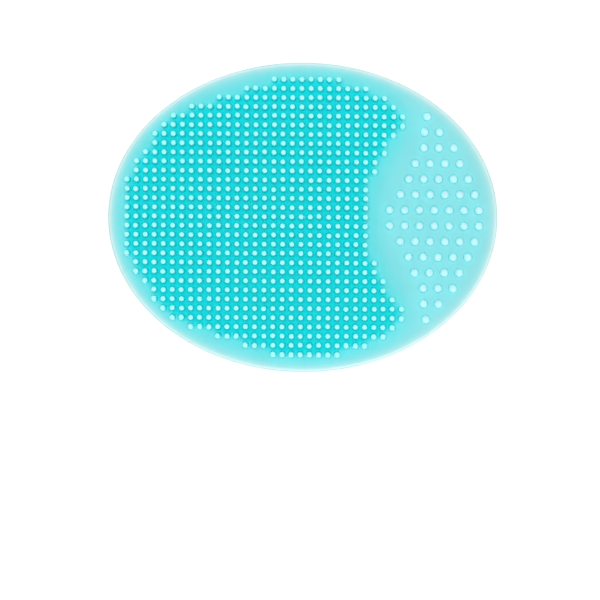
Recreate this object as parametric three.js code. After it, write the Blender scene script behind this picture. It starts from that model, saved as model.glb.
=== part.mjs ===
// Facial cleansing brush in soft silicone: an oval pad with a field of fine bristles and a patch of
// round nubs, carried by a short stem that ends in a suction cup foot.
//
// Millimetres, +Z up. The brush stands on its suction cup with the bristles facing up. The origin is
// the centre of the ring the cup stands on, and +X runs along the oval's long axis to the nub end.

import * as THREE from 'three';

// ---------------------------------------------------------------- driving dimensions

// Oval pad: a front skin bonded to a back plate
const PAD_LENGTH = 80.5;
const PAD_WIDTH = 64;
const DECK_Z = 22.8; // the face that carries bristles and nubs
const SKIN_THICKNESS = 0.8;
const BACK_THICKNESS = 1.35;
const SKIN_EDGE_ROUND = 0.5;
const BACK_EDGE_ROUND = 0.7;

// Lens-shaped boss between the pad and the stem
const BOSS_LENGTH = 41.3;
const BOSS_WIDTH = 32.8;
const BOSS_CENTRE_X = -1;
const BOSS_DEPTH = 2.2;
const BOSS_FLAT = 0.36; // flat middle that the stem meets, as a share of the length
const BOSS_SLOPE = 0.36; // share of the depth lost on the dome, from the flat to the edge
const BOSS_FLANK = 0.58; // share of the length where the flank starts to fall away

// Stem: one straight column, in three lengths because it bends in the middle one
const STEM_RADIUS = 5.25;
const NECK_BOTTOM_Z = 11.0;
const NECK_TOP_Z = 13.8;

// Suction cup foot
const CUP_RADIUS = 13.1;
const BEAD_HEIGHT = 2.6;
const BEAD_HALF_WIDTH = 1.7;
const BEAD_END_ANGLE = 65; // degrees above level, where the bead runs into the cup's back
const CUP_HOLLOW_RADIUS = 10.4;
const CUP_HOLLOW_DEPTH = 2.1;
const WEB_INNER_RADIUS = 5.6;
const WEB_OUTER_RADIUS = 9.6;
const FLARE_END_RADIUS = 12.1;
const FLARE_END_Z = 2.5;
const FLARE_CURVE_RISE = 3.15; // height gained along the hollow curve into the stem
const FLARE_SLOPE_RISE = 1.5; // height gained along the even slope of the cup's back
const FLARE_POWER = 2.5; // the higher, the tighter the curve hugs the stem

// Bristles: combs on a square grid. The pattern of bristles and nubs lies a little off the oval's centre.
const PATTERN_OFFSET_X = 0.15;
const BRISTLE_PITCH = 1.887;
const BRISTLE_BASE_WIDTH = 1.25;
const BRISTLE_TIP_WIDTH = 1.0;
const BRISTLE_DEPTH = 1.05;
const BRISTLE_EDGE_LENGTH = 3.9; // bristle length at the edge of the field
const BRISTLE_CROWN = 1.35; // how much longer the middle ones are
const CROWN_CENTRE_X = -8;
const CROWN_RADIUS = 29;
const BRISTLE_RAIL = 0.3; // web that joins the bristles of one row at their roots

// Outline of the bristle field, in pitches from the pattern's centre: an ellipse with cut shoulders
// and corners, and a round bite that leaves room for the nubs
const GRID_COLUMNS = 31;
const GRID_HALF_ROWS = 15;
const GRID_OFFSET = 19.26; // from the first column to the pattern's centre
const FIELD_HALF_LENGTH = 19.95;
const FIELD_HALF_WIDTH = 15.8;
const SHOULDER_SLOPE = 3; // columns to a row along a shoulder
const SHOULDER_REACH = 16.27;
const CORNER_REACH = 22.2;
const BITE_CENTRE = 22.04;
const BITE_RADIUS = 15;

// Nubs: a rhombus of short round studs at the +X end
const NUB_DIAMETER = 1.65;
const NUB_HEIGHT = 1.15;
const NUB_SHOULDER_WIDTH = 0.85; // shares of the nub's width and height
const NUB_SHOULDER_HEIGHT = 0.75;
const NUB_TOP_WIDTH = 0.4;
const NUB_RAIL = 0.2; // web that joins the nubs of one row
const NUB_PITCH_X = 3.07;
const NUB_FIRST_ROW_Y = 1.62;
const NUB_PITCH_Y = 3.22;
const NUB_ROW_COUNTS = [7, 6, 5, 4, 3, 2, 1]; // from the middle row outwards, on each side
// Where each row's first nub stands, from the pattern's centre
const NUB_ROW_STARTS = [17.8, 20.0, 21.7, 23.0, 24.8, 24.9, 25.4];

// Smoothness of the round parts
const ROUND_SEGMENTS = 48;
const OVAL_SEGMENTS = 72;
const EDGE_STEPS = 3;
const BEAD_STEPS = 6;
const WEB_STEPS = 4;
const DOME_STEPS = 7;

// ---------------------------------------------------------------- materials

function silicone(color, roughness) {
  return new THREE.MeshStandardMaterial({ color, roughness, metalness: 0 });
}

const paint = {
  skin: () => silicone(0x7fe3ea, 0.5),
  back: () => silicone(0x77dbdf, 0.5),
  bristle: () => silicone(0x7ff5ee, 0.42),
  nub: () => silicone(0xb4f0f4, 0.42),
  handle: () => silicone(0x1cc6d2, 0.38),
};

// ---------------------------------------------------------------- shape helpers

// A solid of revolution about Z from [radius, height] pairs, listed so that the outside faces out.
function turned(profile, segments) {
  const points = profile.map(([radius, height]) => new THREE.Vector2(radius, height));
  const geometry = new THREE.LatheGeometry(points, segments);
  geometry.rotateX(Math.PI / 2);
  return geometry;
}

// The same, stretched to an oval of the given length in X and width in Y.
function turnedOval(profile, length, width) {
  const geometry = turned(profile, OVAL_SEGMENTS);
  geometry.scale(1, width / length, 1);
  return geometry;
}

// [radius, height] pairs on an arc of an ellipse, between two angles in degrees.
function arc(centreRadius, centreHeight, radius, heightRadius, from, to, steps) {
  const points = [];
  for (let step = 0; step <= steps; step += 1) {
    const angle = THREE.MathUtils.degToRad(from + ((to - from) * step) / steps);
    points.push([
      centreRadius + radius * Math.cos(angle),
      centreHeight + heightRadius * Math.sin(angle),
    ]);
  }
  return points;
}

// [radius, height] pairs between two radii, where height is a function of the radius.
function sampled(from, to, steps, height) {
  const points = [];
  for (let step = 0; step <= steps; step += 1) {
    const radius = from + ((to - from) * step) / steps;
    points.push([radius, height(radius)]);
  }
  return points;
}

// A comb in the XZ plane, centred on y = 0: a low rail along X with teeth standing on it.
function comb(outline, depth) {
  const shape = new THREE.Shape(outline.map(([x, z]) => new THREE.Vector2(x, z)));
  const geometry = new THREE.ExtrudeGeometry(shape, { depth, bevelEnabled: false });
  geometry.translate(0, 0, -depth / 2);
  geometry.rotateX(Math.PI / 2);
  return geometry;
}

const brush = new THREE.Group();

function place(name, geometry, material, x, y, z) {
  const mesh = new THREE.Mesh(geometry, material);
  mesh.name = name;
  mesh.position.set(x, y, z);
  brush.add(mesh);
}

// ---------------------------------------------------------------- suction cup foot

// Height of the cup's back: a hollow curve out of the stem that ends in an even slope.
function flareHeight(radius) {
  const inward = (FLARE_END_RADIUS - radius) / (FLARE_END_RADIUS - STEM_RADIUS);
  const curve = 1 - (1 - inward ** FLARE_POWER) ** (1 / FLARE_POWER);
  return FLARE_END_Z + FLARE_CURVE_RISE * curve + FLARE_SLOPE_RISE * inward;
}

// Height of the cup's hollow underside, a shallow dome.
function hollowHeight(radius) {
  return CUP_HOLLOW_DEPTH * (1 - (radius / CUP_HOLLOW_RADIUS) ** 2);
}

function cupLip() {
  const beadRadius = CUP_RADIUS - BEAD_HALF_WIDTH;
  const beadCentreZ = BEAD_HEIGHT / 2;
  const profile = [
    ...sampled(WEB_OUTER_RADIUS, CUP_HOLLOW_RADIUS, 1, hollowHeight),
    ...arc(beadRadius, beadCentreZ, BEAD_HALF_WIDTH, beadCentreZ, -90, BEAD_END_ANGLE, BEAD_STEPS),
    ...sampled(FLARE_END_RADIUS, WEB_OUTER_RADIUS, 1, flareHeight),
    [WEB_OUTER_RADIUS, hollowHeight(WEB_OUTER_RADIUS)],
  ];
  place('cup_lip', turned(profile, ROUND_SEGMENTS), paint.handle(), 0, 0, 0);
}

function cupWeb() {
  const profile = [
    ...sampled(WEB_INNER_RADIUS, WEB_OUTER_RADIUS, WEB_STEPS / 2, hollowHeight),
    ...sampled(WEB_OUTER_RADIUS, WEB_INNER_RADIUS, WEB_STEPS, flareHeight),
    [WEB_INNER_RADIUS, hollowHeight(WEB_INNER_RADIUS)],
  ];
  place('cup_web', turned(profile, ROUND_SEGMENTS), paint.handle(), 0, 0, 0);
}

// ---------------------------------------------------------------- stem

function stemLower() {
  const profile = [
    ...sampled(0, WEB_INNER_RADIUS, WEB_STEPS / 2, hollowHeight),
    ...sampled(WEB_INNER_RADIUS, STEM_RADIUS, EDGE_STEPS, flareHeight),
    [STEM_RADIUS, NECK_BOTTOM_Z],
    [0, NECK_BOTTOM_Z],
  ];
  place('stem_lower', turned(profile, ROUND_SEGMENTS), paint.handle(), 0, 0, 0);
}

function column(name, bottomZ, topZ) {
  const profile = [
    [0, 0],
    [STEM_RADIUS, 0],
    [STEM_RADIUS, topZ - bottomZ],
    [0, topZ - bottomZ],
  ];
  place(name, turned(profile, ROUND_SEGMENTS), paint.handle(), 0, 0, bottomZ);
}

// ---------------------------------------------------------------- pad

const skinBottomZ = DECK_Z - SKIN_THICKNESS;
const backBottomZ = skinBottomZ - BACK_THICKNESS;
const bossBottomZ = backBottomZ - BOSS_DEPTH;

// The boss's underside: a flat middle, then a shallow dome whose flank falls away to the plate.
function handleBoss() {
  const half = BOSS_LENGTH / 2;
  const dome = sampled(BOSS_FLAT * half, half, DOME_STEPS, (radius) => {
    const share = radius / half;
    const slope = 1 - (BOSS_SLOPE * (share - BOSS_FLAT)) / (1 - BOSS_FLAT);
    const flank = 1 - (Math.max(0, share - BOSS_FLANK) / (1 - BOSS_FLANK)) ** 2;
    return BOSS_DEPTH * (1 - slope * flank);
  });
  const profile = [[0, 0], ...dome, [0, BOSS_DEPTH]];
  const geometry = turnedOval(profile, BOSS_LENGTH, BOSS_WIDTH);
  place('handle_boss', geometry, paint.back(), BOSS_CENTRE_X, 0, bossBottomZ);
}

function backPlate() {
  const half = PAD_LENGTH / 2;
  const round = BACK_EDGE_ROUND;
  const profile = [
    [0, 0],
    ...arc(half - round, round, round, round, -90, 0, EDGE_STEPS),
    [half, BACK_THICKNESS],
    [0, BACK_THICKNESS],
  ];
  const geometry = turnedOval(profile, PAD_LENGTH, PAD_WIDTH);
  place('back_plate', geometry, paint.back(), 0, 0, backBottomZ);
}

function frontSkin() {
  const half = PAD_LENGTH / 2;
  const round = SKIN_EDGE_ROUND;
  const profile = [
    [0, 0],
    [half, 0],
    ...arc(half - round, SKIN_THICKNESS - round, round, round, 0, 90, EDGE_STEPS),
    [0, SKIN_THICKNESS],
  ];
  const geometry = turnedOval(profile, PAD_LENGTH, PAD_WIDTH);
  place('front_skin', geometry, paint.skin(), 0, 0, skinBottomZ);
}

// ---------------------------------------------------------------- bristles

// Is there a bristle here? Column and row are counted in pitches from the pattern's centre.
function inBristleField(column, row) {
  const side = Math.abs(row);
  const inEllipse = (column / FIELD_HALF_LENGTH) ** 2 + (side / FIELD_HALF_WIDTH) ** 2 <= 1;
  const inShoulders = Math.abs(column) / SHOULDER_SLOPE + side <= SHOULDER_REACH;
  const inCorners = column + side <= CORNER_REACH;
  const outsideBite = Math.hypot(column - BITE_CENTRE, side) >= BITE_RADIUS;
  return inEllipse && inShoulders && inCorners && outsideBite;
}

// The tips lie on a low dome over the field.
function bristleLength(x, y) {
  const outward = Math.hypot(x - CROWN_CENTRE_X, y) / CROWN_RADIUS;
  return BRISTLE_EDGE_LENGTH + BRISTLE_CROWN * Math.max(0, 1 - outward ** 2);
}

function bristleRow(row, number) {
  const y = row * BRISTLE_PITCH;
  const columns = [];
  for (let index = 0; index < GRID_COLUMNS; index += 1) {
    const column = index - GRID_OFFSET;
    if (inBristleField(column, row)) columns.push(column * BRISTLE_PITCH);
  }
  const baseHalf = BRISTLE_BASE_WIDTH / 2;
  const tipHalf = BRISTLE_TIP_WIDTH / 2;
  const outline = [
    [columns[0] - baseHalf, 0],
    [columns[columns.length - 1] + baseHalf, 0],
  ];
  for (const x of [...columns].reverse()) {
    const length = bristleLength(x, y);
    outline.push([x + baseHalf, BRISTLE_RAIL], [x + tipHalf, length]);
    outline.push([x - tipHalf, length], [x - baseHalf, BRISTLE_RAIL]);
  }
  const name = `bristle_row_${String(number).padStart(2, '0')}`;
  place(name, comb(outline, BRISTLE_DEPTH), paint.bristle(), PATTERN_OFFSET_X, y, DECK_Z);
}

// ---------------------------------------------------------------- nubs

function nubRow(y, firstX, count, number) {
  const half = NUB_DIAMETER / 2;
  const shoulder = half * NUB_SHOULDER_WIDTH;
  const shoulderZ = NUB_HEIGHT * NUB_SHOULDER_HEIGHT;
  const top = half * NUB_TOP_WIDTH;
  const outline = [
    [firstX - half, 0],
    [firstX + (count - 1) * NUB_PITCH_X + half, 0],
  ];
  for (let nub = count - 1; nub >= 0; nub -= 1) {
    const x = firstX + nub * NUB_PITCH_X;
    outline.push([x + half, NUB_RAIL], [x + shoulder, shoulderZ], [x + top, NUB_HEIGHT]);
    outline.push([x - top, NUB_HEIGHT], [x - shoulder, shoulderZ], [x - half, NUB_RAIL]);
  }
  const name = `nub_row_${String(number).padStart(2, '0')}`;
  place(name, comb(outline, NUB_DIAMETER), paint.nub(), PATTERN_OFFSET_X, y, DECK_Z);
}

// ---------------------------------------------------------------- the brush

cupLip();
cupWeb();
stemLower();
column('stem_neck', NECK_BOTTOM_Z, NECK_TOP_Z);
column('stem_upper', NECK_TOP_Z, bossBottomZ);
handleBoss();
backPlate();
frontSkin();

for (let row = -GRID_HALF_ROWS; row <= GRID_HALF_ROWS; row += 1) {
  bristleRow(row, row + GRID_HALF_ROWS + 1);
}

const nubRows = NUB_ROW_COUNTS.length;
for (let step = 0; step < nubRows; step += 1) {
  const y = NUB_FIRST_ROW_Y + step * NUB_PITCH_Y;
  const count = NUB_ROW_COUNTS[step];
  const firstX = NUB_ROW_STARTS[step];
  nubRow(-y, firstX, count, nubRows - step);
  nubRow(y, firstX, count, nubRows + 1 + step);
}

export default brush;
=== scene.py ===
import math

import bpy
import numpy as np
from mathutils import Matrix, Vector


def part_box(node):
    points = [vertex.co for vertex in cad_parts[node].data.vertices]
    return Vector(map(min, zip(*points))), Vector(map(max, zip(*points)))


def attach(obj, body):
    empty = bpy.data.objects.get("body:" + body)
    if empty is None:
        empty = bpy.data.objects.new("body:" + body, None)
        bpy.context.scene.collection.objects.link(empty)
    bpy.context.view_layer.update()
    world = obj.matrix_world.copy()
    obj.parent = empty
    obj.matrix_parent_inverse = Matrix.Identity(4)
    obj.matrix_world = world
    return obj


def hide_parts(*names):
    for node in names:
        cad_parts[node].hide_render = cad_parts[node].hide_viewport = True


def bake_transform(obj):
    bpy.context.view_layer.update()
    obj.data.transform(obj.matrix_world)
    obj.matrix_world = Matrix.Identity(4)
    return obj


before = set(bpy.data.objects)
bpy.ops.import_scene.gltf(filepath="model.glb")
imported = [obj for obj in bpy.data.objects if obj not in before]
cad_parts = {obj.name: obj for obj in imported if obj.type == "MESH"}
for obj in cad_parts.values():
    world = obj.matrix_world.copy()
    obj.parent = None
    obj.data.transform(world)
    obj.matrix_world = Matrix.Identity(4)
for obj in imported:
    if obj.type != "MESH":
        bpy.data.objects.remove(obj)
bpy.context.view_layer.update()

MM = 0.001

# ------------------------------------------------------------------ places, read from the frame

SKIN_LOW, SKIN_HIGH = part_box("front_skin")
BACK_LOW, BACK_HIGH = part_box("back_plate")
BOSS_LOW, BOSS_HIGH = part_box("handle_boss")
CUP_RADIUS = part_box("cup_lip")[1].x
NECK_LOW, NECK_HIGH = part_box("stem_neck")
NODE_NAMES = sorted(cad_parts)
BRISTLE_NODES = [n for n in NODE_NAMES if n.startswith("bristle_row_")]
NUB_NODES = [n for n in NODE_NAMES if n.startswith("nub_row_")]

DECK_Z = SKIN_HIGH.z
PAD_HALF = (SKIN_HIGH.x, SKIN_HIGH.y)
STEM_RADIUS = NECK_HIGH.x
BEND_Z = (NECK_LOW.z + NECK_HIGH.z) / 2
NOD_LOW = BEND_Z + 0.9 * MM  # where the two lengths of the stem meet, a little above the neck's middle

# ------------------------------------------------------------------ the pad's shape, in millimetres

PAD_COUNT, BOSS_COUNT = 240, 160  # points around the pad and around the boss
PARTING_STEP = 0.13  # how far the back plate stands out past the skin
RIM_FADE = 0.68  # how fast the painted highlight along the skin's rim fades inwards
WALL_EDGE = 0.2  # how pale the skin's outer wall is, as a share of the rim's painted highlight
WALL_END = (0.3, 0.75)  # shares of the edge's rounding where the wall's colour gives way to the rim's painted highlight
SKIN_ROUND = 0.5  # radius of the skin's upper edge
SKIN_LAP = 1.5  # how far in from the rim the skin's underside runs, between the plates
DECK_RINGS = 66  # rings of points over the deck, close enough to carry its colours
BACK_CORNER, BACK_ROUND = 0.12, 0.75  # radii of the back plate's upper and lower edge
SKIN_STEPS, BACK_STEPS, CORNER_STEPS = 9, 10, 5  # rings around each rounded edge
BACK_LAP = 1.0  # how far in from the rim the back plate's top runs, under the skin
BACK_RINGS = (0.2, 0.4, 0.6, 0.8, 0.93)  # rings on the back plate's underside, as shares of its size
CORNER_LINE = (0.35, 0.05)  # where the corner's painted highlight line starts and is whole, below the plate's top
BOSS_RINGS, BOSS_FIRST = 48, 0.06  # rings over the boss, and the first one's share of its size
BOSS_FLAT, BOSS_FLANK = 0.36, 0.58  # shares of the boss's size where its slope and its flank start
BOSS_SLOPE = 0.36  # share of its depth that the slope takes off
BOSS_ROOT, BOSS_ROOT_SHARE = 0.15, 0.985  # how far its edge reaches into the plate, and its size there

# ------------------------------------------------------------------ bristles and nubs, in millimetres

ROOT_DEPTH = 0.1  # how far bristles and nubs reach into the skin
LEAN_POWER = 1.6  # a leaning bristle bends more towards its tip
STRAY_CHANCE, STRAY_LEAN = 0.03, 2.2  # a few lean further, by that many times the usual
SHADE_REACH = 1.4  # how far from its axis a bristle's neighbours shade it
FIELD_REACH, NEAR_REACH = 1.5, 3.5  # how far the painted shade around a bristle spreads over the deck, and its fainter surroundings
FIELD_EDGE, NEAR_EDGE = (0.52, 0.9), (0.0, 0.6)  # crowding where each begins, and where it is whole
SIDE_SHADE = (0.35, 0.85)  # crowding where a bristle's side begins to be shaded, and where it is whole
SHADE_ENDS = [(0.65, 0.4, 0.8), (0.35, 0.92, 0.985)]  # how much of it ends, between which heights
BRISTLE_LEAN, NUB_LEAN = 0.05, 0.02
BRISTLE_COUNT, NUB_COUNT = 14, 20  # points around one of them

# A bristle's radius in mm at shares of its length, from root to tip.
BRISTLE_PROFILE = [
    (0.0, 0.72), (0.03, 0.66), (0.08, 0.61), (0.3, 0.59), (0.55, 0.575), (0.75, 0.56),
    (0.87, 0.545), (0.93, 0.515), (0.968, 0.455), (0.99, 0.34),
]
# A nub's radius in mm at shares of its height.
NUB_PROFILE = [
    (0.0, 0.98), (0.1, 0.89), (0.3, 0.85), (0.55, 0.81), (0.75, 0.72), (0.9, 0.55), (0.975, 0.31),
]

# ------------------------------------------------------------------ stem and foot, in millimetres

STEM_SPLIT_Z = 8.6  # where the foot's skin is parted from the stem's, in the straight part
FLARE_TOP_Z = 7.5  # the first ring of the straight stem, just above the flare
FLARE_END = (12.1, 2.5)  # radius and height where the flare meets the bead
FLARE_CURVE_RISE, FLARE_SLOPE_RISE = 3.15, 1.5  # height gained by its hollow curve and its even slope
FLARE_POWER = 2.5  # the higher, the tighter the curve hugs the stem
FLARE_SPACING = 1.8  # crowds the flare's rings towards the stem, where it is steepest
BEAD = (1.7, 1.3)  # half width and half height of the cup's round edge
BEAD_DEGREES = (-90, 66)  # from its lowest point up to the flare
HOLLOW_RADIUS, HOLLOW_DEPTH = 10.4, 2.1
HOLLOW_FIRST = 0.6  # radius of the hollow's innermost ring
FOOT_COLOUR_Z = 1.0  # the foot's colours run from here up to the stem
HOLLOW_RINGS, BEAD_RINGS, FLARE_RINGS, STRAIGHT_RINGS = 22, 22, 34, 4
FLARE_FIRST = 0.03  # the flare's first ring, just past the bead, as a share of the way to the stem
FOOT_COUNT, STEM_COUNT = 128, 96  # points around the foot and around the stem
STEM_RINGS = 27  # rings of points up one length of the stem

# ------------------------------------------------------------------ mesh helpers

SHARP_DEGREES = 50  # edges turned more than this stay crisp


def new_object(name, points, faces, values=None):
    """A smooth-shaded mesh object, with a float attribute for each entry of values."""
    mesh = bpy.data.meshes.new(name)
    mesh.from_pydata([tuple(p) for p in points], [], [tuple(f) for f in faces])
    mesh.validate()
    for key, numbers in (values or {}).items():
        layer = mesh.attributes.new(key, "FLOAT", "POINT")
        layer.data.foreach_set("value", np.asarray(numbers, np.float32))
    mesh.polygons.foreach_set("use_smooth", [True] * len(mesh.polygons))
    mesh.set_sharp_from_angle(angle=math.radians(SHARP_DEGREES))
    mesh.update()
    made = bpy.data.objects.new(name, mesh)
    bpy.context.collection.objects.link(made)
    return made


def skin_rings(rings):
    """Faces over equal rings of points, from the first ring to the last, with a fan over each end. Each
    ring runs counter-clockwise as seen from the last one."""
    count = len(rings[0])
    faces = []
    for r in range(len(rings) - 1):
        low, high = r * count, (r + 1) * count
        for i in range(count):
            j = (i + 1) % count
            faces.append((low + i, low + j, high + j, high + i))
    top = (len(rings) - 1) * count
    first = len(rings) * count
    points = np.concatenate([*rings, [rings[0].mean(0)], [rings[-1].mean(0)]])
    for i in range(count):
        j = (i + 1) % count
        faces.append((first, j, i))
        faces.append((first + 1, top + i, top + j))
    return points, faces


def circle(radius, z, count, centre=(0.0, 0.0)):
    """A level ring of points."""
    turn = np.linspace(0, 2 * math.pi, count, endpoint=False)
    x = centre[0] + radius * np.cos(turn)
    y = centre[1] + radius * np.sin(turn)
    return np.stack([x, y, np.full(count, z)], 1)


def oval(half, inset, z, count, centre=0.0, scale=1.0):
    """A ring that lies a true distance inside an ellipse, then is scaled towards the middle."""
    turn = np.linspace(0, 2 * math.pi, count, endpoint=False)
    edge = np.stack([half[0] * np.cos(turn), half[1] * np.sin(turn)], 1)
    out = np.stack([np.cos(turn) / half[0], np.sin(turn) / half[1]], 1)
    out /= np.linalg.norm(out, axis=1)[:, None]
    flat = (edge - out * inset) * scale
    return np.column_stack([flat[:, 0] + centre, flat[:, 1], np.full(count, z)])


def rim_distance(flat):
    """How far points of the oval lie inside its rim, in mm, along the line to the middle."""
    radius = np.hypot(flat[:, 0] / PAD_HALF[0], flat[:, 1] / PAD_HALF[1])
    reach = np.hypot(flat[:, 0], flat[:, 1]) / np.maximum(radius, 1e-9)
    return reach * (1 - radius) / MM


def smooth(low, high, x):
    """0 at low, 1 at high, and an S-shaped curve between them."""
    t = np.clip((np.asarray(x, float) - low) / (high - low), 0, 1)
    return t * t * (3 - 2 * t)


# ------------------------------------------------------------------ where bristles and nubs stand


def teeth(node, least):
    """(x, y, tip z) of each tooth of a CAD comb. Points that far above the deck belong to a tip."""
    points = np.array([v.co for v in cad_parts[node].data.vertices], float)
    y = (points[:, 1].min() + points[:, 1].max()) / 2
    tips = points[points[:, 2] > DECK_Z + least]
    corners = {}
    for x, _, z in tips:
        corners[round(x / MM, 2)] = z
    xs = sorted(corners)
    found = []
    for left, right in zip(xs[0::2], xs[1::2]):
        found.append(((left + right) / 2 * MM, y, (corners[left] + corners[right]) / 2))
    return found


BRISTLES = {node: teeth(node, 2 * MM) for node in BRISTLE_NODES}
NUBS = {node: teeth(node, 1 * MM) for node in NUB_NODES}
BRISTLE_ROOTS = np.array([b[:2] for row in BRISTLES.values() for b in row])
FIRST_ROW_Y, LAST_ROW_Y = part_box(BRISTLE_NODES[0])[0].y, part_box(BRISTLE_NODES[-1])[0].y
ROW_PITCH = (LAST_ROW_Y - FIRST_ROW_Y) / (len(BRISTLE_NODES) - 1)
BATCH = 2000  # points handled at once, which keeps the memory small


def crowding(points, reach):
    """About 1 in the middle of the field of bristles, falling off smoothly over its edge."""
    total = np.zeros(len(points))
    for start in range(0, len(points), BATCH):
        part = points[start:start + BATCH]
        gap2 = ((part[:, None, :] - BRISTLE_ROOTS[None, :, :]) ** 2).sum(2)
        total[start:start + BATCH] = np.exp(-gap2 / (2 * reach**2)).sum(1)
    return total * ROW_PITCH**2 / (2 * math.pi * reach**2)


# ------------------------------------------------------------------ materials


# Where the colour sockets of a Mix node are. They share their names with its float and vector sockets.
MIX_FACTOR, MIX_FIRST, MIX_SECOND, MIX_RESULT = 0, 6, 7, 2

# The moulded surface: noise cells to a metre, and how far each finish varies.
CLOUD_CELLS, CLOUD_LOW, CLOUD_HIGH = 260, 0.965, 1.03
MATT_CELLS, MATT_LOW, MATT_HIGH = 900, 0.07, 0.09
GRAIN_CELLS, GRAIN_DEPTH, GRAIN_STRENGTH = 5200, 0.02, 0.12
SILICONE_IOR = 1.41
SCATTER = (0.45, 1.0, 1.0)  # red light is taken up sooner than green and blue


class Nodes:
    """A small helper that adds shader nodes to a new material and links them."""

    def __init__(self, name):
        self.material = bpy.data.materials.new(name)
        self.material.use_nodes = True
        self.tree = self.material.node_tree
        self.shader = self.tree.nodes["Principled BSDF"]

    def add(self, kind, **settings):
        node = self.tree.nodes.new(kind)
        for key, value in settings.items():
            setattr(node, key, value)
        return node

    def link(self, source, target):
        self.tree.links.new(source, target)

    def attribute(self, name):
        return self.add("ShaderNodeAttribute", attribute_name=name).outputs["Fac"]

    def place(self):
        return self.add("ShaderNodeTexCoord").outputs["Object"]

    def noise(self, scale, detail=3.0, rough=0.55):
        node = self.add("ShaderNodeTexNoise")
        node.inputs["Scale"].default_value = scale
        node.inputs["Detail"].default_value = detail
        node.inputs["Roughness"].default_value = rough
        self.link(self.place(), node.inputs["Vector"])
        return node.outputs["Fac"]

    def ramp(self, factor, stops, smooth_steps=True):
        node = self.add("ShaderNodeValToRGB")
        node.color_ramp.interpolation = "EASE" if smooth_steps else "LINEAR"
        elements = node.color_ramp.elements
        while len(elements) < len(stops):
            elements.new(0.5)
        for element, (position, color) in zip(elements, stops):
            element.position = position
            element.color = (*color, 1.0)
        self.link(factor, node.inputs["Fac"])
        return node.outputs["Color"]

    def spread(self, factor, low, high):
        node = self.add("ShaderNodeMapRange")
        node.inputs["To Min"].default_value = low
        node.inputs["To Max"].default_value = high
        self.link(factor, node.inputs["Value"])
        return node.outputs["Result"]

    def seen(self, as_light, as_backdrop):
        """One strength for lighting the brush, another for what the camera sees directly."""
        direct = self.add("ShaderNodeLightPath").outputs["Is Camera Ray"]
        return self.spread(direct, as_light, as_backdrop)

    def mix(self, factor, first, second, blend="MIX"):
        node = self.add("ShaderNodeMix", data_type="RGBA", blend_type=blend)
        places = (MIX_FACTOR, factor), (MIX_FIRST, first), (MIX_SECOND, second)
        for place, value in places:
            socket = node.inputs[place]
            if isinstance(value, (int, float)):
                socket.default_value = value
            elif isinstance(value, tuple):
                socket.default_value = (*value, 1.0)
            else:
                self.link(value, socket)
        return node.outputs[MIX_RESULT]


def srgb(red, green, blue):
    """A colour given as screen values from 0 to 255, in the linear values that shaders use."""
    shares = (red / 255, green / 255, blue / 255)
    return tuple(c / 12.92 if c <= 0.04045 else ((c + 0.055) / 1.055) ** 2.4 for c in shares)


def silicone(name, colour, roughness=0.5, gloss=0.25, cloudy=0.3, depth=0.9, glow=None):
    """Soft moulded silicone. colour(nodes) gives the base colour, which gets a faint cloudiness, and the
    surface has the fine matt grain of an eroded mould. cloudy is the share of light that wanders inside,
    and depth how far in mm. glow(nodes) is a painted glow: emission in the base colour that stands in for
    white light coming through from the other side."""
    n = Nodes(name)
    shader = n.shader
    cloud = n.spread(n.noise(CLOUD_CELLS, 2), CLOUD_LOW, CLOUD_HIGH)
    tint = n.add("ShaderNodeCombineColor")
    for channel in ("Red", "Green", "Blue"):
        n.link(cloud, tint.inputs[channel])
    base = n.mix(1.0, colour(n), tint.outputs["Color"], "MULTIPLY")
    n.link(base, shader.inputs["Base Color"])
    matt = n.spread(n.noise(MATT_CELLS, 3), roughness - MATT_LOW, roughness + MATT_HIGH)
    n.link(matt, shader.inputs["Roughness"])
    shader.inputs["Subsurface Weight"].default_value = cloudy
    shader.inputs["Subsurface Radius"].default_value = SCATTER
    shader.inputs["Subsurface Scale"].default_value = depth * MM
    if glow:
        n.link(n.mix(1.0, base, glow(n), "MULTIPLY"), shader.inputs["Emission Color"])
        shader.inputs["Emission Strength"].default_value = 1.0
    shader.inputs["IOR"].default_value = SILICONE_IOR
    shader.inputs["Specular IOR Level"].default_value = gloss
    grain = n.add("ShaderNodeBump")
    grain.inputs["Strength"].default_value = GRAIN_STRENGTH
    grain.inputs["Distance"].default_value = GRAIN_DEPTH * MM
    n.link(n.noise(GRAIN_CELLS, 2), grain.inputs["Height"])
    n.link(grain.outputs["Normal"], shader.inputs["Normal"])
    return n.material


# The deck away from the bristles, with painted shade beside them and deeper painted shade between them, the
# painted highlight of the thin rim, and the bristle tips.
OPEN = srgb(148, 234, 238)
NEAR_SHADE = srgb(113, 228, 232)
DEEP_SHADE = srgb(0, 208, 210)
RIM_HIGHLIGHT = srgb(212, 238, 238)
TIP = srgb(165, 250, 250)


def grey(level):
    return level, level, level


def skin_colour(n):
    """Painted shade, deep between the bristles and paler away from them, and a painted highlight, palest
    along the rounded rim where the skin thins out.
    """
    bare = n.mix(n.attribute("near"), OPEN, NEAR_SHADE)
    whole = n.mix(n.attribute("field"), bare, DEEP_SHADE)
    edge = n.ramp(n.attribute("edge"), [(0.0, grey(0)), (0.5, grey(0.92))], smooth_steps=False)
    return n.mix(edge, whole, RIM_HIGHLIGHT)


def skin_glow(n):
    """Painted glow: emission that stands in for light coming through between the bristles, and more at the
    thin rim as part of its painted highlight.
    """
    field = n.ramp(n.attribute("field"), [(0.0, grey(0.02)), (1.0, grey(0.17))])
    between = n.mix(n.attribute("near"), grey(0.07), field)
    rim = n.ramp(n.attribute("edge"), [(0.0, grey(0)), (0.3, grey(0.03)), (0.6, grey(0.14))])
    return n.mix(1.0, between, rim, "ADD")


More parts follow.
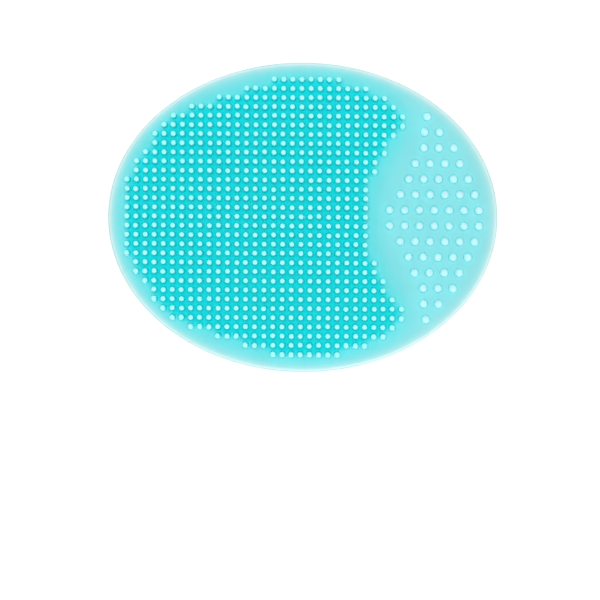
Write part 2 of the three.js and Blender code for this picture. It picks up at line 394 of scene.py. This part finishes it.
def bristle_colour(n):
    """Deep down between the others, pale at the tips and on the outer side of the field."""
    return n.ramp(n.attribute("shade"), [
        (0.0, TIP), (0.3, srgb(140, 242, 244)), (0.65, srgb(40, 222, 228)), (1.0, srgb(0, 210, 216)),
    ])


# Painted glow: emission that stands in for light coming through the bristle, strongest at the tip.
def bristle_glow(n):
    return n.ramp(n.attribute("up"), [
        (0.0, grey(0.17)), (0.6, grey(0.17)), (0.95, grey(0.15)), (1.0, grey(0.27)),
    ])


def nub_colour(n):
    """The deck's own colour at the root, with a painted highlight paler over the dome."""
    return n.ramp(n.attribute("up"), [
        (0.0, srgb(116, 228, 233)), (0.4, srgb(128, 232, 238)),
        (0.75, srgb(186, 240, 247)), (1.0, srgb(198, 243, 251)),
    ])


# Painted glow: emission that stands in for light coming through the nub.
def nub_glow(n):
    return n.ramp(n.attribute("up"), [(0.0, grey(0.16)), (0.5, grey(0.2)), (1.0, grey(0.16))])


def back_colour(n):
    """Even and pale, with a painted highlight paler still along the sharp upper corner of the rim."""
    body = n.ramp(n.noise(120, 1), [(0.3, srgb(112, 217, 221)), (0.7, srgb(120, 222, 226))])
    return n.mix(n.attribute("edge"), body, srgb(204, 232, 234))


# Painted glow: emission that stands in for light coming through the plate, stronger along the upper
# corner's painted highlight.
def back_glow(n):
    return n.ramp(n.attribute("edge"), [(0.0, grey(0.09)), (1.0, grey(0.16))])


def handle_colour(n):
    """Deep turquoise in the thick stem, paler in the thin bead of the cup, where a painted reflection of
    the floor and painted light coming through the bead lift it.
    """
    return n.ramp(n.attribute("up"), [
        (0.0, srgb(150, 222, 225)), (0.09, srgb(110, 214, 220)), (0.18, srgb(0, 203, 211)),
    ])


# Painted glow: emission that stands in for light coming through the silicone, strongest over the bead and
# the flare, which the pad keeps in shade.
def handle_glow(n):
    return n.ramp(n.attribute("up"), [
        (0.0, grey(0.2)), (0.2, grey(0.27)), (0.5, grey(0.27)), (1.0, grey(0.13)),
    ])


SKIN = silicone("skin_silicone", skin_colour, 0.58, gloss=0.15, glow=skin_glow)
BRISTLE = silicone("bristle_silicone", bristle_colour, 0.5, cloudy=0.6, depth=0.6, glow=bristle_glow)
NUB = silicone("nub_silicone", nub_colour, 0.5, cloudy=0.5, depth=0.5, glow=nub_glow)
BACK = silicone("back_silicone", back_colour, glow=back_glow)
HANDLE = silicone("handle_silicone", handle_colour, 0.34, gloss=0.4, cloudy=0.0, glow=handle_glow)


def finish_piece(piece, body, nodes, material):
    """Material, body, CAD nodes and slot."""
    piece.data.materials.append(material)
    if body:
        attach(piece, body)
    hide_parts(*nodes)


# ------------------------------------------------------------------ pad


def front_skin():
    """The skin: a flat deck with a softly rounded edge, down to the line where it meets the back plate."""
    low, high = SKIN_LOW.z, DECK_Z
    round_up, step = SKIN_ROUND * MM, PARTING_STEP * MM
    rings = [oval(PAD_HALF, SKIN_LAP * MM, low, PAD_COUNT), oval(PAD_HALF, step, low, PAD_COUNT)]
    for angle in np.linspace(0, math.pi / 2, SKIN_STEPS):
        inset = step + round_up * (1 - math.cos(angle))
        rings.append(oval(PAD_HALF, inset, high - round_up * (1 - math.sin(angle)), PAD_COUNT))
    for scale in np.linspace(1, 0, DECK_RINGS + 2)[1:-1]:
        rings.append(oval(PAD_HALF, step + round_up, high, PAD_COUNT, scale=scale))
    points, faces = skin_rings(rings)
    flat = points[:, :2]
    # Painted shade: 'field' is the deep shade between the bristles, 'near' the fainter shade around the
    # field.
    field = smooth(*FIELD_EDGE, crowding(flat, FIELD_REACH * MM))
    field[points[:, 2] < high - 1e-6] = 0
    near = smooth(*NEAR_EDGE, crowding(flat, NEAR_REACH * MM))
    # Painted highlight: 'edge' is pale along the rounded rim and fainter down the outer wall.
    upper = smooth(*WALL_END, (points[:, 2] - high + round_up) / round_up)
    edge = np.exp(-rim_distance(flat) / RIM_FADE) * upper + WALL_EDGE * (1 - upper)
    piece = new_object("front_skin_soft", points, faces, {"field": field, "near": near, "edge": edge})
    finish_piece(piece, "pad", ["front_skin"], SKIN)


def back_plate():
    """The back plate, a hair wider than the skin, with a crisp upper corner and a rounded lower one."""
    low, high = BACK_LOW.z, BACK_HIGH.z
    corner, round_down = BACK_CORNER * MM, BACK_ROUND * MM
    rings = [oval(PAD_HALF, round_down, low, PAD_COUNT, scale=share) for share in BACK_RINGS]
    for angle in np.linspace(0, math.pi / 2, BACK_STEPS):
        inset, rise = round_down * (1 - math.sin(angle)), round_down * (1 - math.cos(angle))
        rings.append(oval(PAD_HALF, inset, low + rise, PAD_COUNT))
    for angle in np.linspace(0, math.pi / 2, CORNER_STEPS):
        inset, drop = corner * (1 - math.cos(angle)), corner * (1 - math.sin(angle))
        rings.append(oval(PAD_HALF, inset, high - drop, PAD_COUNT))
    rings.append(oval(PAD_HALF, BACK_LAP * MM, high, PAD_COUNT))
    points, faces = skin_rings(rings)
    # Painted highlight along the plate's upper corner.
    edge = smooth(high - CORNER_LINE[0] * MM, high - CORNER_LINE[1] * MM, points[:, 2])
    piece = new_object("back_plate_soft", points, faces, {"edge": edge})
    finish_piece(piece, "pad", ["back_plate"], BACK)


def handle_boss():
    """The lens under the pad: a shallow dome with an S-shaped flank that runs out into the plate."""
    half = ((BOSS_HIGH.x - BOSS_LOW.x) / 2, (BOSS_HIGH.y - BOSS_LOW.y) / 2)
    centre = (BOSS_HIGH.x + BOSS_LOW.x) / 2
    depth = BOSS_HIGH.z - BOSS_LOW.z
    rings = []
    for share in np.linspace(BOSS_FIRST, 1.0, BOSS_RINGS):
        slope = 1 - BOSS_SLOPE * max(0, share - BOSS_FLAT) / (1 - BOSS_FLAT)
        flank = 1 - (max(0, share - BOSS_FLANK) / (1 - BOSS_FLANK)) ** 2
        rings.append(oval(half, 0, BOSS_HIGH.z - depth * slope * flank, BOSS_COUNT, centre, share))
    rings.append(oval(half, 0, BOSS_HIGH.z + BOSS_ROOT * MM, BOSS_COUNT, centre, BOSS_ROOT_SHARE))
    points, faces = skin_rings(rings)
    piece = new_object("handle_boss_soft", points, faces, {"edge": np.zeros(len(points))})
    finish_piece(piece, "pad", ["handle_boss"], BACK)


def grown(name, stands, profile, count, rng, lean, material, node):
    """One row of round bristles or nubs, each grown out of the skin and leaning a hair its own way. "up" is
    the share of the height. "shade" is 1 low down between bristles, less near a tip or on an outer side."""
    all_points, all_faces, up, crowd = [], [], [], []
    around = circle(SHADE_REACH * MM, 0, count)[:, :2]
    for x, y, tip in stands:
        length = tip - DECK_Z
        turn = rng.uniform(0, 2 * math.pi)
        far = abs(rng.normal(0, lean)) * MM
        if rng.random() < STRAY_CHANCE:
            far += STRAY_LEAN * lean * MM
        tilt = np.array([math.cos(turn) * far, math.sin(turn) * far])
        rings = [circle(profile[0][1] * MM, DECK_Z - ROOT_DEPTH * MM, count, (x, y))]
        shares = [0.0]
        for share, radius in profile:
            shift = tilt * share**LEAN_POWER
            centre = (x + shift[0], y + shift[1])
            rings.append(circle(radius * MM, DECK_Z + length * share, count, centre))
            shares.append(share)
        points, faces = skin_rings(rings)
        points[-1] = (x + tilt[0], y + tilt[1], tip)
        base = sum(len(p) for p in all_points)
        all_points.append(points)
        all_faces.extend([tuple(base + i for i in face) for face in faces])
        up.extend(np.repeat(shares, count).tolist() + [0.0, 1.0])
        sides = crowding(around + (x, y), FIELD_REACH * MM)
        crowd.extend(np.tile(sides, len(rings)).tolist() + [sides.mean(), sides.mean()])
    up = np.array(up)
    lit = sum(share * smooth(low, high, up) for share, low, high in SHADE_ENDS)
    shade = smooth(*SIDE_SHADE, crowd) * (1 - lit)
    piece = new_object(name, np.concatenate(all_points), all_faces, {"up": up, "shade": shade})
    finish_piece(piece, "pad", [node], material)


# ------------------------------------------------------------------ stem and suction cup


def flare_height(radius):
    """How high the cup's back is at that radius, both in mm."""
    inward = (FLARE_END[0] - radius) / (FLARE_END[0] - STEM_RADIUS / MM)
    curve = 1 - (1 - inward**FLARE_POWER) ** (1 / FLARE_POWER)
    return FLARE_END[1] + FLARE_CURVE_RISE * curve + FLARE_SLOPE_RISE * inward


def cup_foot():
    """Cup and foot of the stem in one skin: hollow underside, flat ring, round bead and the flare above it.
    The profile is (radius, height) in mm, from the middle of the hollow to the bead and up to the stem."""
    stem = STEM_RADIUS / MM
    profile = []
    for radius in np.linspace(HOLLOW_FIRST, HOLLOW_RADIUS, HOLLOW_RINGS):
        profile.append((radius, HOLLOW_DEPTH * (1 - (radius / HOLLOW_RADIUS) ** 2)))
    middle = CUP_RADIUS / MM - BEAD[0]
    for angle in np.radians(np.linspace(*BEAD_DEGREES, BEAD_RINGS)):
        profile.append((middle + BEAD[0] * math.cos(angle), BEAD[1] + BEAD[1] * math.sin(angle)))
    for share in np.linspace(FLARE_FIRST, 1, FLARE_RINGS):
        radius = FLARE_END[0] + (stem - FLARE_END[0]) * (1 - (1 - share) ** FLARE_SPACING)
        profile.append((radius, flare_height(radius)))
    for z in np.linspace(FLARE_TOP_Z, STEM_SPLIT_Z, STRAIGHT_RINGS):
        profile.append((stem, z))
    points, faces = skin_rings([circle(radius * MM, z * MM, FOOT_COUNT) for radius, z in profile])
    up = np.clip((points[:, 2] / MM - FOOT_COLOUR_Z) / (STEM_SPLIT_Z - FOOT_COLOUR_Z), 0, 1)
    piece = new_object("cup_foot_soft", points, faces, {"up": up})
    finish_piece(piece, None, ["cup_lip", "cup_web", "stem_lower"], HANDLE)
    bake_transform(piece)


def stem_length(name, low, high, node):
    """One length of the stem, a straight tube from low up to high."""
    rings = [circle(STEM_RADIUS, z, STEM_COUNT) for z in np.linspace(low, high, STEM_RINGS)]
    points, faces = skin_rings(rings)
    piece = new_object(name, points, faces, {"up": np.ones(len(points))})
    finish_piece(piece, None, [node], HANDLE)
    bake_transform(piece)


front_skin()
back_plate()
handle_boss()
random_row = np.random.default_rng(11)
for number, node in enumerate(BRISTLE_NODES, 1):
    grown(
        f"bristles_{number:02d}", BRISTLES[node], BRISTLE_PROFILE, BRISTLE_COUNT, random_row, BRISTLE_LEAN,
        BRISTLE, node,
    )
for number, node in enumerate(NUB_NODES, 1):
    grown(
        f"nubs_{number:02d}", NUBS[node], NUB_PROFILE, NUB_COUNT, random_row, NUB_LEAN,
        NUB, node,
    )
cup_foot()
stem_length("stem_lower_soft", STEM_SPLIT_Z * MM, NOD_LOW, "stem_neck")
stem_top = BOSS_LOW.z + ROOT_DEPTH * MM
stem_length("stem_upper_soft", NOD_LOW, stem_top, "stem_upper")

# ------------------------------------------------------------------ floor, light and camera


FLOOR_HALF = 3.0  # metres
FLOOR_GLOW = (0.6, 0.82)  # how bright the floor is as a light, and as the camera sees it
WORLD_GLOW = (0.22, 1.0)  # the same for the backdrop all around


def floor():
    """Plain pale paper, bright enough to come out white as in the photo."""
    half = FLOOR_HALF
    corners = [(-half, -half, 0), (half, -half, 0), (half, half, 0), (-half, half, 0)]
    piece = new_object("floor", corners, [(0, 1, 2, 3)])
    n = Nodes("floor_paper")
    paper = n.ramp(n.noise(40, 3), [(0.3, grey(0.34)), (0.7, grey(0.36))])
    n.link(paper, n.shader.inputs["Base Color"])
    n.shader.inputs["Roughness"].default_value = 0.9
    n.shader.inputs["Specular IOR Level"].default_value = 0.1
    n.shader.inputs["Emission Color"].default_value = (1, 1, 1, 1)
    n.link(n.seen(*FLOOR_GLOW), n.shader.inputs["Emission Strength"])
    piece.data.materials.append(n.material)


def soft_light(name, place, width, height, power):
    """A soft oval light, aimed at the middle of the pad. Sizes in metres, power in watts."""
    light = bpy.data.lights.new(name, "AREA")
    light.shape = "ELLIPSE"
    light.size = width
    light.size_y = height
    light.energy = power
    made = bpy.data.objects.new(name, light)
    made.location = place
    aim = Vector((0, 0, DECK_Z)) - Vector(place)
    made.rotation_euler = aim.to_track_quat("-Z", "Y").to_euler()
    bpy.context.collection.objects.link(made)


def studio():
    """A white backdrop all around, one key light overhead and three weak ones low down."""
    world = bpy.data.worlds.new("studio")
    world.use_nodes = True
    tree = world.node_tree
    background = tree.nodes["Background"]
    background.inputs["Color"].default_value = (1, 1, 1, 1)
    backdrop = tree.nodes.new("ShaderNodeMapRange")
    backdrop.inputs["To Min"].default_value, backdrop.inputs["To Max"].default_value = WORLD_GLOW
    direct = tree.nodes.new("ShaderNodeLightPath").outputs["Is Camera Ray"]
    tree.links.new(direct, backdrop.inputs["Value"])
    tree.links.new(backdrop.outputs["Result"], background.inputs["Strength"])
    bpy.context.scene.world = world
    soft_light("overhead", (-0.03, 0.03, 1.25), 0.42, 0.42, 8.8)
    soft_light("front", (0.0, -0.85, 0.1), 0.5, 0.3, 2.2)
    soft_light("side", (0.8, -0.2, 0.14), 0.3, 0.24, 0.9)
    soft_light("rear", (-0.35, 0.8, 0.12), 0.6, 0.24, 1.2)


VIEW_WIDTH = 0.12395  # what the picture spans at the deck's height, in metres
VIEW_DISTANCE = 0.882  # from the deck up to the camera
VIEW_CENTRE = (-0.00045, -0.0171)  # the pad sits above the picture's middle
VIEW_TURN = 0.38  # degrees
SENSOR_WIDTH = 36  # mm


def camera():
    """Straight above the brush, as the photo's larger view is."""
    data = bpy.data.cameras.new("camera")
    data.sensor_width = SENSOR_WIDTH
    data.lens = data.sensor_width * VIEW_DISTANCE / VIEW_WIDTH
    data.clip_start, data.clip_end = 0.01, 20
    made = bpy.data.objects.new("camera", data)
    made.location = (*VIEW_CENTRE, DECK_Z + VIEW_DISTANCE)
    made.rotation_euler.z = math.radians(VIEW_TURN)
    bpy.context.collection.objects.link(made)
    bpy.context.scene.camera = made


floor()
studio()
camera()
bpy.context.scene.view_settings.view_transform = "Standard"
